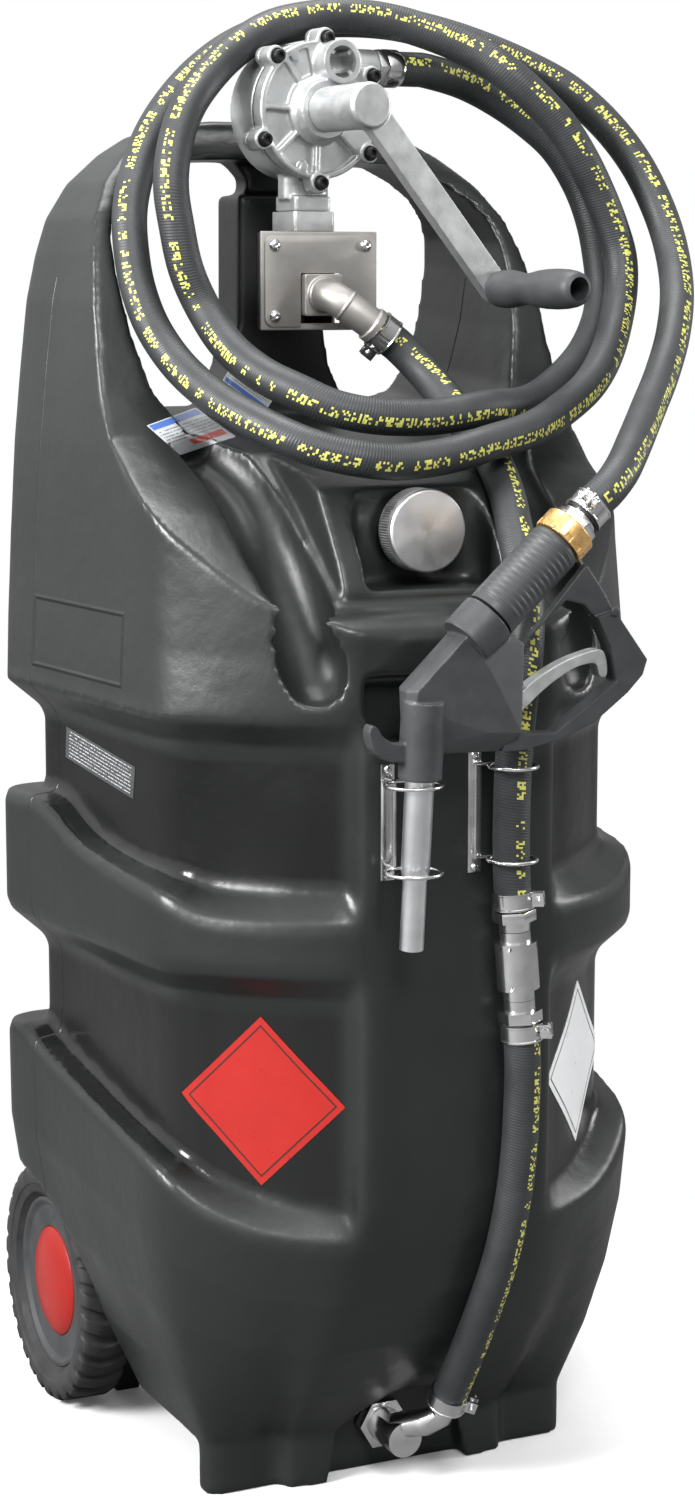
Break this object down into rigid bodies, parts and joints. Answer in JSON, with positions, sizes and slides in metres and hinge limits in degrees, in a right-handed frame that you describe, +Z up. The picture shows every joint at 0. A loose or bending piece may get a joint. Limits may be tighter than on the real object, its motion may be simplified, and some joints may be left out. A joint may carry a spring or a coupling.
{
  "type": "fuel caddy",
  "caption": "Upright black trolley tank with a rotary hand pump on its handle, coiled delivery hose, trigger nozzle in a wire holder, suction line with check valve, and wheels.",
  "frame": {"origin": "on the floor, under the middle of the tank's flat base", "axes": "+X to the right as seen from the front, +Y to the rear, +Z up"},
  "size_m": [0.5799, 0.5823, 1.2583],
  "materials": {
    "tank_plastic": "satin moulded polyethylene",
    "black_plastic": "fine grain",
    "hose_rubber": "matte",
    "seal_rubber": "matte",
    "tyre_rubber": "matte",
    "cast_aluminium": "fine cast",
    "turned_aluminium": "turned",
    "stainless": "brushed",
    "plated_steel": "bright plated",
    "steel": "machined",
    "brass": "machined",
    "red_plastic": "gloss",
    "orange_film": "gloss film",
    "white_film": "gloss film",
    "vane_plastic": "machined"
  },
  "bodies": {
    "caddy": {"tank_body": "tank_plastic", "filler_neck": "tank_plastic", "axle": "steel", "axle_clip": "steel", "bracket_box": "stainless", "cover_plate": "stainless", "riser_pipe": "stainless", "suction_elbow": "stainless", "suction_hose": "hose_rubber", "outlet_hose": "hose_rubber", "delivery_hose": "hose_rubber", "elbow_clamp": "plated_steel", "valve_clamp_upper": "plated_steel", "valve_clamp_lower": "plated_steel", "outlet_clamp": "plated_steel", "nozzle_clamp": "plated_steel", "valve_insert_upper": "plated_steel", "valve_insert_lower": "plated_steel", "check_valve_body": "plated_steel", "check_spring": "steel", "outlet_bulkhead": "plated_steel", "outlet_seal": "seal_rubber", "outlet_elbow": "plated_steel", "pump_housing": "cast_aluminium", "pump_cover": "cast_aluminium", "pump_gasket": "seal_rubber", "shaft_bearing": "steel", "shaft_seal": "seal_rubber", "inlet_flange": "cast_aluminium", "outlet_ferrule": "plated_steel", "swivel_tail": "plated_steel", "swivel_nut": "brass", "nozzle_body": "black_plastic", "nozzle_grip": "black_plastic", "nozzle_guard": "black_plastic", "lever_pin": "steel", "spout": "turned_aluminium", "spout_holder": "plated_steel", "hose_holder": "plated_steel", "orange_sticker": "orange_film", "white_sticker": "white_film"},
    "wheel_left": {"tyre_left": "tyre_rubber", "rim_left": "black_plastic", "hub_cover_left": "red_plastic"},
    "wheel_right": {"tyre_right": "tyre_rubber", "rim_right": "black_plastic", "hub_cover_right": "red_plastic"},
    "crank": {"crank_arm": "cast_aluminium", "grip_pin": "steel", "pump_shaft": "steel", "pump_rotor": "steel", "vane_one": "vane_plastic", "vane_two": "vane_plastic"},
    "crank_handle": {"crank_grip": "black_plastic"},
    "cap_core": {"cap_plug": "black_plastic", "cap_seal": "seal_rubber"},
    "cap": {"filler_cap": "turned_aluminium"},
    "lever": {"nozzle_lever": "cast_aluminium"},
    "stem": {"valve_stem": "steel"},
    "poppet": {"check_poppet": "brass"}
  },
  "joints": [
    {"name": "wheel_left_spin", "type": "hinge", "parent": "caddy", "child": "wheel_left", "pos_m": [-0.194, 0.183, 0.1088], "axis": [-1, 0, 0], "continuous": true},
    {"name": "wheel_right_spin", "type": "hinge", "parent": "caddy", "child": "wheel_right", "pos_m": [0.194, 0.183, 0.1088], "axis": [-1, 0, 0], "continuous": true},
    {"name": "crank_turn", "type": "hinge", "parent": "caddy", "child": "crank", "pos_m": [0, 0.075, 1.161], "axis": [0.1045, -0.9945, 0], "continuous": true},
    {"name": "grip_spin", "type": "hinge", "parent": "crank", "child": "crank_handle", "pos_m": [0.13049, 0.08872, 1.01006], "axis": [0.1045, -0.9945, 0], "continuous": true},
    {"name": "cap_pull", "type": "slide", "parent": "caddy", "child": "cap_core", "axis": [0, -1, 0], "range_m": [0, 0.03]},
    {"name": "cap_turn", "type": "hinge", "parent": "cap_core", "child": "cap", "pos_m": [0, -0.132, 0.817], "axis": [0, -1, 0], "range_deg": [0, 540]},
    {"name": "lever_squeeze", "type": "hinge", "parent": "caddy", "child": "lever", "pos_m": [0.018, -0.268, 0.685], "axis": [0, -1, 0], "range_deg": [0, 15], "stiffness_Nm_per_rad": 1.5},
    {"name": "stem_push", "type": "slide", "parent": "caddy", "child": "stem", "axis": [-0.6428, 0, 0.766], "range_m": [0, 0.006]},
    {"name": "poppet_lift", "type": "slide", "parent": "caddy", "child": "poppet", "axis": [-0.0783, 0, 0.9969], "range_m": [0, 0.003], "stiffness_N_per_m": 100, "springref_m": -0.002, "deforming": ["check_spring"]}
  ],
  "couplings": [
    {"joint": "stem_push", "follows": "lever_squeeze", "m_per_rad": 0.0205}
  ]
}
